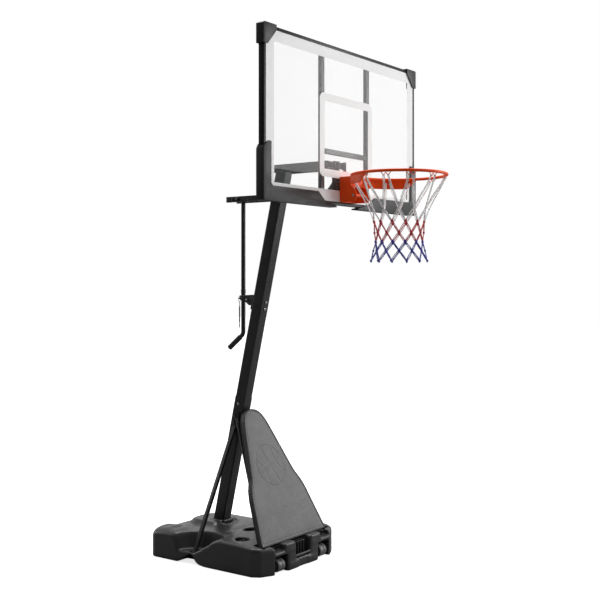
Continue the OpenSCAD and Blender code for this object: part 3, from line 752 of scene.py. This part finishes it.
def pad_outline(inset=0.0):
    """Rounded outline of the pad, from the middle of its foot round to the same place."""
    pts = [Vector((u, s, 0)) for u, s in PAD_SIDE]
    full = [Vector((-p.x, p.y, 0)) for p in reversed(pts[:-1])]
    ring = pts + full
    smooth = []
    radius = {0: 0.014, len(ring) - 1: 0.014}
    n = len(ring)
    for i, p in enumerate(ring):
        a, b = ring[i - 1], ring[(i + 1) % n]
        r = radius.get(i, 0.02)
        r = min(r, (a - p).length * 0.45, (b - p).length * 0.45)
        start, end = p + (a - p).normalized() * r, p + (b - p).normalized() * r
        for k in range(7):
            t = k / 6
            smooth.append((1 - t) ** 2 * start + 2 * t * (1 - t) * p + t * t * end)
    out = []
    for i, p in enumerate(smooth):
        r = smooth[(i + 1) % len(smooth)]
        gap = 1.1 * (r - p).length
        count = max(1, int(gap / 0.012))
        out += [p.lerp(r, k / count) for k in range(count)]
    if inset:
        moved_in = []
        for i, p in enumerate(out):
            t = (out[(i + 1) % len(out)] - out[i - 1]).normalized()
            moved_in.append(p + Vector((-t.y, t.x, 0)) * inset)
        out = moved_in
    return out


def pad_distance(u, s, w):
    """Millimetres: u across, s up the face, w out from the back of the backing sheet."""
    outline = [(a * 1000, b * 1000) for a, b in PAD_SIDE]
    ring = outline + [(-a, b) for a, b in reversed(outline[:-1])]
    edge = polygon2(u, s, ring)
    crown = 24.2 + 4.4 * (1 - np.exp(np.minimum(edge, 0) / 34))
    seam = -1.9 * np.exp(-((edge + 16) / 2.2) ** 2)
    r = np.hypot(u, s - 400)
    c, k = math.cos(0.35), math.sin(0.35)
    lines = np.minimum(np.abs(u * c + (s - 400) * k), np.abs((s - 400) * c - u * k))
    lines = np.minimum(lines, np.abs(np.hypot(u - 178, s - 465) - 132))
    lines = np.minimum(lines, np.abs(np.hypot(u + 178, s - 335) - 132))
    lines = np.where(r < 112, lines, 99)
    lines = np.minimum(lines, np.abs(r - 112))
    ball = -1.9 * np.exp(-(lines / 3.2) ** 2) * (edge < -20)
    fade = np.clip((262 - s) / 90, 0, 1) * np.clip((-edge - 20) / 6, 0, 1)
    ribs = 0.55 * fade * np.sin((u + 1.35 * s) * 2 * np.pi / 22)
    front = crown + seam + ball + ribs
    d = smax(edge + 1.0, w - front, 5)
    return smax(d, 5.15 - w, 3)


def make_pad():
    step = 2.5
    verts, faces = surface_net(pad_distance, (-290, -8, -1), (290, 732, 34), step)
    world = [on_pad(u / 1000, s / 1000, PAD_T - w / 1000) for u, s, w in verts]
    obj = mesh_object("front_pad_cushion", world, faces)
    place(obj, "stand", "pad_cover", PAD_CLOTH, "front_pad")
    obj.data.materials.append(PAD_EDGE)
    middle = np.array([np.mean([verts[i] for i in f], axis=0) for f in faces])
    outline = [(a * 1000, b * 1000) for a, b in PAD_SIDE]
    edge = polygon2(middle[:, 0], middle[:, 1], outline + [(-a, b) for a, b in reversed(outline[:-1])])
    for p, e, w in zip(obj.data.polygons, edge, middle[:, 2]):
        p.material_index = int(e > -9.5 or w < 18)
    # welt along the face's edge and the stitched seam inside it
    rim = [on_pad(p.x, p.y, 0.0066) for p in pad_outline(0.0045)]
    welt = mesh_object("front_pad_welt", *tube(rim, 0.0042, 12, closed=True))
    place(welt, "stand", "pad_cover", PAD_EDGE)
    path = pad_outline(0.0128)
    line = resample(path + path[:1], 0.0035)
    stitches = []
    for i in range(0, len(line) - 1, 2):
        a, b = line[i], line[i + 1]
        ends = [on_pad(p.x, p.y, 0.0042) for p in (a, a.lerp(b, 0.5), b)]
        ends[1] += Vector((0, -math.cos(PAD_LEAN), math.sin(PAD_LEAN))) * 0.0005
        stitches.append(tube(ends, [0.0008, 0.0013, 0.0008], 6))
    seam = mesh_object("front_pad_stitching", *merged(stitches))
    place(seam, "stand", "pad_cover", THREAD)
    soften("pad_backing", PAD_EDGE, "backing_board", 0.0009)


def resample(points, gap):
    out = [points[0]]
    left = gap
    for a, b in zip(points, points[1:]):
        length = (b - a).length
        t = left
        while t <= length:
            out.append(a.lerp(b, t / length))
            t += gap
        left = t - length
    return out


# ---------- pole, struts, arms and handle ----------

HANDLE_R = 0.012


def make_steelwork():
    for n in ("pole_lower", "pole_upper"):
        soften(n, BLACK_STEEL, "black_steel", 0.0005, 1)
    for n in ("side_strut_left", "side_strut_right", "front_strut_left", "front_strut_right",
              "lower_arm_left", "lower_arm_right", "upper_arm_left", "upper_arm_right",
              "support_left", "support_right", "upper_crossbar", "lower_crossbar", "board_bracket"):
        soften(n, BLACK_STEEL, "black_steel", 0.0016, 3)
    soften("handle_fork", BLACK_STEEL, "black_steel", 0.0009, 2)
    soften("pole_cap", CORNER_PLASTIC, "corner_plastic", 0.0014, 3)
    soften("handle_spacers", BLACK_STEEL, "black_steel", 0.0006, 2)
    for n in ("wheel_axles", "pole_bolts", "fork_bolts", "rim_bolts", "rim_hinge_pin", "rim_spring_rod"):
        soften(n, ZINC, "bright_steel", 0.0008, 2)
    for n in ("strut_bolts", "handle_pivot_bolt", "lever_end_bolt", "pole_pivot_bolts", "board_pivot_bolts"):
        soften(n, DARK_ZINC, "bright_steel", 0.0008, 2)


def make_handle():
    lo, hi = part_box("handle_rod")
    x, y = (lo.x + hi.x) / 2, lo.y + HANDLE_R
    top, bend_z, bend_r = hi.z, 1.217, 0.034
    turn = math.radians(51)
    line = [Vector((x, y, top - (top - bend_z) * i / 40)) for i in range(41)]
    for i in range(1, 17):
        a = turn * i / 16
        line.append(Vector((x, y + bend_r * (1 - math.cos(a)), bend_z - bend_r * math.sin(a))))
    heading = Vector((0, math.sin(turn), -math.cos(turn)))
    knee_end = line[-1].copy()
    for i in range(1, 13):
        line.append(knee_end + heading * (0.104 * i / 12))
    rod = mesh_object("handle_rod_bent", *tube(line, HANDLE_R, 32))
    crease_by_angle(rod, 50)
    place(rod, "handle", "black_steel", BLACK_STEEL, "handle_rod")
    # ribbed grip with a flange and a rounded end
    rings = []
    length = 0.100
    for i in range(101):
        t = i / 100
        r = 0.0141 + 0.0006 * math.sin(t * 2 * math.pi * 11) * (0.08 < t < 0.92)
        if t < 0.05:
            r = 0.0147
        if t > 0.94:
            r = 0.0147 * math.sqrt(max(0.0, 1 - ((t - 0.94) / 0.06) ** 2)) + 0.0006
        rings.append((knee_end + heading * (0.012 + length * t), r))
    grip = mesh_object("handle_grip_ribbed", *tube([p for p, r in rings], [r for p, r in rings], 40))
    crease_by_angle(grip, 60)
    place(grip, "handle", "grip_rubber", RUBBER, "handle_grip")
    profile = [(0.0120, 0), (0.0131, 0), (0.0135, 0.0006), (0.0135, 0.006), (0.0130, 0.0068),
               (0.0130, 0.0132), (0.0135, 0.014), (0.0135, 0.0194), (0.0131, 0.020), (0.0120, 0.020)]
    verts, faces = moved(lathe(profile, 48), Matrix.Translation((x, y, 1.424)))
    place(mesh_object("handle_collar_ring", verts, faces), "handle", "grip_rubber", RUBBER, "handle_collar")


def make_lock_pin():
    x, y, z = -0.023, 0.027, 1.391
    loop = [Vector((x, y + 0.0097 * math.cos(a), z + 0.0097 * math.sin(a)))
            for a in (2 * math.pi * i / 48 for i in range(48))]
    place(mesh_object("pin_ring_wire", *tube(loop, 0.0011, 12, closed=True)),
          "hanging_pin", "bright_steel", ZINC, "pin_ring")
    pin = turn_profile([(0.0006, 1.2351), (0.0020, 1.2358), (0.0029, 1.2385), (0.0029, 1.2600),
                        (0.0022, 1.2620), (0.0022, 1.3790), (0.0014, 1.3802)], 24)
    place(mesh_object("lock_pin_turned", *moved(pin, Matrix.Translation((x, y, 0)))),
          "hanging_pin", "bright_steel", ZINC, "lock_pin")
    profile = [(0.0022, 1.264), (0.0031, 1.264), (0.0034, 1.2646), (0.0034, 1.3514),
               (0.0031, 1.352), (0.0022, 1.352)]
    place(mesh_object("pin_sleeve_tube", *moved(lathe(profile, 24), Matrix.Translation((x, y, 0)))),
          "hanging_pin", "grip_rubber", RUBBER, "pin_sleeve")


# ---------- board ----------

BOARD_FACE_Y = -0.65965
PRINT_INSET = 0.006
BORDER_WIDTH = 0.068


def ink_sheet(name, material, shapes, y=BOARD_FACE_Y, thick=0.0002):
    """Flat shapes in the board's plane, printed or the painted reflection sheet, each a list of (x, z) corners.
    """
    parts = []
    for pts in shapes:
        n = len(pts)
        front = [Vector((x, y - thick, z)) for x, z in pts]
        back = [Vector((x, y, z)) for x, z in pts]
        faces = [tuple(range(n)), tuple(range(2 * n - 1, n - 1, -1))]
        faces += [(i, i + n, (i + 1) % n + n, (i + 1) % n) for i in range(n)]
        parts.append((front + back, faces))
    obj = mesh_object(name, *merged(parts), smooth=False)
    bm = bmesh.new()
    bm.from_mesh(obj.data)
    bmesh.ops.recalc_face_normals(bm, faces=bm.faces)
    bm.to_mesh(obj.data)
    bm.free()
    return place(obj, "board", "clear_panel", material)


def arc(cx, cz, r, start, end):
    """Points of an arc in the board's plane, angles in degrees."""
    steps = 8
    return [(cx + r * math.cos(math.radians(start + (end - start) * i / steps)),
             cz + r * math.sin(math.radians(start + (end - start) * i / steps))) for i in range(steps + 1)]


def quad_band(outer, inner):
    """Quads between two matching open or closed lines."""
    return [[outer[i], outer[i + 1], inner[i + 1], inner[i]] for i in range(len(outer) - 1)]


def make_board():
    lo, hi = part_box("backboard_panel")
    soften("backboard_panel", ACRYLIC, "clear_panel", 0.0006, 2)
    left, right = lo.x + PRINT_INSET, hi.x - PRINT_INSET
    bottom, top = lo.z + PRINT_INSET, hi.z - PRINT_INSET
    il, ir, ib, it = left + BORDER_WIDTH, right - BORDER_WIDTH, 1.943, 2.591
    outer = [(left, bottom), (right, bottom), (right, top), (left, top), (left, bottom)]
    inner = [(il, ib), (ir, ib), (ir, it), (il, it), (il, ib)]
    ink_sheet("border_print", WHITE_INK, quad_band(outer, inner))
    # target: rounded at its outer corners, square inside
    w, band, z0, z1, r = 0.238, 0.039, 2.004, 2.416, 0.030
    out_line, in_line = [], []
    corners = [(w, z0, -90, 0), (w, z1, 0, 90), (-w, z1, 90, 180), (-w, z0, 180, 270)]
    for x, z, a0, a1 in corners:
        sx, sz = (1 if x > 0 else -1), (1 if z == z1 else -1)
        line = arc(x - sx * r, z - sz * r, r, a0, a1)
        out_line += line
        in_line += [(x - sx * band, z - sz * band)] * len(line)
    out_line.append(out_line[0])
    in_line.append(in_line[0])
    ink_sheet("target_print", WHITE_INK, quad_band(out_line, in_line))
    # painted reflection: a faint white sheet over the board above the rim and round the target stands for glare
    # on the acrylic; it is not a print
    glare_patches = [[(il, 2.008), (-w, 2.008), (-w, it), (il, it)], [(w, 2.008), (ir, 2.008), (ir, it), (w, it)],
            [(-w, z1), (w, z1), (w, it), (-w, it)],
            [(-w + band, z0 + band), (w - band, z0 + band), (w - band, z1 - band), (-w + band, z1 - band)]]
    ink_sheet("painted_glare_sheet", PAINTED_GLARE_INK, glare_patches, y=-0.65975, thick=0.0001)
    for n in ("frame_top_rail", "frame_bottom_rail", "frame_left_rail", "frame_right_rail"):
        soften(n, FRAME_BLACK, "frame_black", 0.0007, 2)
    for n in ("corner_cap_left", "corner_cap_right", "corner_pad_left", "corner_pad_right"):
        soften(n, CORNER_PLASTIC, "corner_plastic", 0.0022, 3)


# ---------- rim and net ----------

RING = Vector((0, -0.967, 2.008))
RING_R = 0.2325
RING_ROD = 0.0075
HOOKS = 12
FIRST_HOOK = 15
HOOK_HALF = 0.0115
HOOK_LINE = RING_R - 0.0035
SPRING_R = 0.008
SPRING_WIRE = 0.0014


def on_ring(angle, radius, drop=0.0, slide=0.0):
    """A point round the ring: angle in degrees from +X, drop below its middle, slide along the rod."""
    a = math.radians(angle)
    out = Vector((math.cos(a), math.sin(a), 0))
    side = Vector((-math.sin(a), math.cos(a), 0))
    return RING + out * radius + side * slide - Vector((0, 0, drop))


def hook_angle(i):
    return FIRST_HOOK + 360 / HOOKS * i


def curve_through(points, per=8):
    """Catmull-Rom line through the points."""
    pts = [2 * points[0] - points[1], *points, 2 * points[-1] - points[-2]]
    out = []
    for i in range(1, len(pts) - 2):
        p0, p1, p2, p3 = pts[i - 1:i + 3]
        for k in range(per):
            t = k / per
            out.append(0.5 * (2 * p1 + (p2 - p0) * t + (2 * p0 - 5 * p1 + 4 * p2 - p3) * t * t
                              + (3 * p1 - p0 - 3 * p2 + p3) * t ** 3))
    out.append(points[-1].copy())
    return out


def make_rim():
    line = [on_ring(360 * i / 160, RING_R) for i in range(160)]
    place(mesh_object("rim_ring_rod", *tube(line, RING_ROD, 24, closed=True)),
          "rim", "rim_orange", RIM_ORANGE, "rim_ring")
    for n, w in (("rim_bracket", 0.0014), ("rim_neck", 0.0012), ("rim_brace", 0.0012)):
        soften(n, RIM_ORANGE, "rim_orange", w, 3)
    hooks = []
    half = [(0.006, 0.016), (HOOK_HALF, 0.0225), (0.017, 0.016), (0.024, 0.0065)]
    shape = [(-s, d) for s, d in reversed(half)] + [(0, 0.0095)] + half
    for i in range(HOOKS):
        wire = curve_through([on_ring(hook_angle(i), HOOK_LINE, d, s) for s, d in shape], 6)
        hooks.append(tube(wire, 0.0019, 10))
    place(mesh_object("net_hook_wires", *merged(hooks)), "rim", "rim_orange", RIM_ORANGE, "net_hooks")
    turns, steps = 4, 40
    lo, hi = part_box("rim_spring")
    coil = []
    for i in range(turns * steps + 1):
        a = 2 * math.pi * i / steps
        t = i / (turns * steps)
        y = hi.y - SPRING_WIRE + (lo.y - hi.y + 2 * SPRING_WIRE) * t
        coil.append(Vector((SPRING_R * math.cos(a), y, 1.970 + SPRING_R * math.sin(a))))
    spring = mesh_object("rim_spring_coil", *tube(coil, SPRING_WIRE, 12))
    place(spring, "board", "bright_steel", ZINC, "rim_spring")
    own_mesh(spring)


# drop below the ring and radius at each level of the net, and how far its cords have turned by then
NET_LEVELS = [(0.020, 0.2290), (0.060, 0.2080), (0.115, 0.1740), (0.168, 0.1460), (0.230, 0.1260),
              (0.283, 0.1200), (0.328, 0.1180), (0.371, 0.1260), (0.421, 0.1420)]
NET_TURN = [0.0, 4.5, 9.6, 15.0, 30.0, 45.0, 60.0, 75.0, 90.0]
# level of the net, colour, degrees past the hook, size of the knot
KNOTS = [(4, "red", 0, 0.0072), (5, "red", 15, 0.0068), (6, "blue", 0, 0.0074), (7, "blue", 15, 0.0062),
         (8, "blue", 0, 0.0058), (3, "white", 15, 0.0048)]
FIRST_KNOT = 3
CORD_GAP = 0.0032
WHITE_CORD = 0.0020
COLOUR_CORD = 0.0016


def make_net():
    groups = {"white": [], "red": [], "blue": []}
    knots = {"white": [], "red": [], "blue": []}

    def strand(i, sign, gap):
        pts = []
        for k, ((drop, radius), turned) in enumerate(zip(NET_LEVELS, NET_TURN)):
            a = hook_angle(i) + sign * turned
            start = HOOK_HALF if k == 0 else 0.0
            pinch = 0.25 if k >= FIRST_KNOT else 1.0
            drift = random.uniform(-0.0012, 0.0012)
            pts.append(on_ring(a, radius + sign * 0.0011, drop + drift, sign * start + gap * pinch))
        return pts

    bands = (("white", 0, 4), ("red", 4, 6), ("blue", 6, 8))
    for i in range(HOOKS):
        for sign in (-1, 1):
            for gap in (-CORD_GAP, CORD_GAP):
                pts = strand(i, sign, gap)
                for colour, a, b in bands:
                    part = []
                    for k in range(a, b):
                        p, q = pts[k], pts[k + 1]
                        bow = 0.0 if k < FIRST_KNOT else math.copysign(0.0024, gap)
                        tangential = Vector((-(p.y - RING.y), p.x, 0)).normalized()
                        for t in (0.0, 0.2, 0.4, 0.6, 0.8):
                            part.append(p.lerp(q, t) + tangential * bow * math.sin(math.pi * t))
                    part.append(pts[b])
                    groups[colour].append(tube(part, WHITE_CORD if colour == "white" else COLOUR_CORD, 8))
        # loop over the hook
        for s in (-1, 1):
            top = [on_ring(hook_angle(i), HOOK_LINE + q, d, s * HOOK_HALF + e) for q, d, e in
                   ((-0.0045, 0.0235, -0.0030), (-0.0035, 0.0205, -0.0026), (0.0, 0.0190, 0.0),
                    (0.0030, 0.0205, 0.0026), (0.0035, 0.0235, 0.0030))]
            groups["white"].append(tube(curve_through(top, 5), WHITE_CORD, 8))
        for k, colour, off, size in KNOTS:
            drop, radius = NET_LEVELS[k]
            knots[colour].append(knot(hook_angle(i) + off, radius, drop, size))
    for colour, material in (("white", CORD_WHITE), ("red", CORD_RED), ("blue", CORD_BLUE)):
        cords = mesh_object(f"net_cords_{colour}", *merged(groups[colour]))
        if colour == "white":
            place(cords, "rim", "net_cord", material, "net")
        else:
            place(cords, "rim", "net_cord", material)
        place(mesh_object(f"net_knots_{colour}", *merged(knots[colour])), "rim", "net_cord", material)


def knot(angle, radius, drop, size):
    """A lumpy wrapped knot: a ball with the ridges of the cord turned round it."""
    verts, faces = [], []
    rows, cols = 12, 16
    centre = on_ring(angle, radius, drop)
    a = math.radians(angle)
    out = Vector((math.cos(a), math.sin(a), 0))
    side = Vector((-math.sin(a), math.cos(a), 0))
    for i in range(rows + 1):
        t = math.pi * i / rows
        for j in range(cols):
            p = 2 * math.pi * j / cols
            ridge = 1 + 0.10 * math.sin(3 * p + 5 * t + angle)
            r = size * ridge * (0.02 + 0.98 * math.sin(t))
            verts.append(centre + out * (r * 0.8 * math.cos(p)) + side * (r * math.sin(p))
                         + Vector((0, 0, size * 1.15 * math.cos(t))))
    for i in range(rows):
        for j in range(cols):
            k = (j + 1) % cols
            faces.append((i * cols + j, i * cols + k, (i + 1) * cols + k, (i + 1) * cols + j))
    faces.append(tuple(range(cols))[::-1])
    faces.append(tuple(rows * cols + j for j in range(cols)))
    return verts, faces


make_base()
make_fill_cap()
make_wheels()
make_pad()
make_steelwork()
make_handle()
make_lock_pin()
make_board()
make_rim()
make_net()
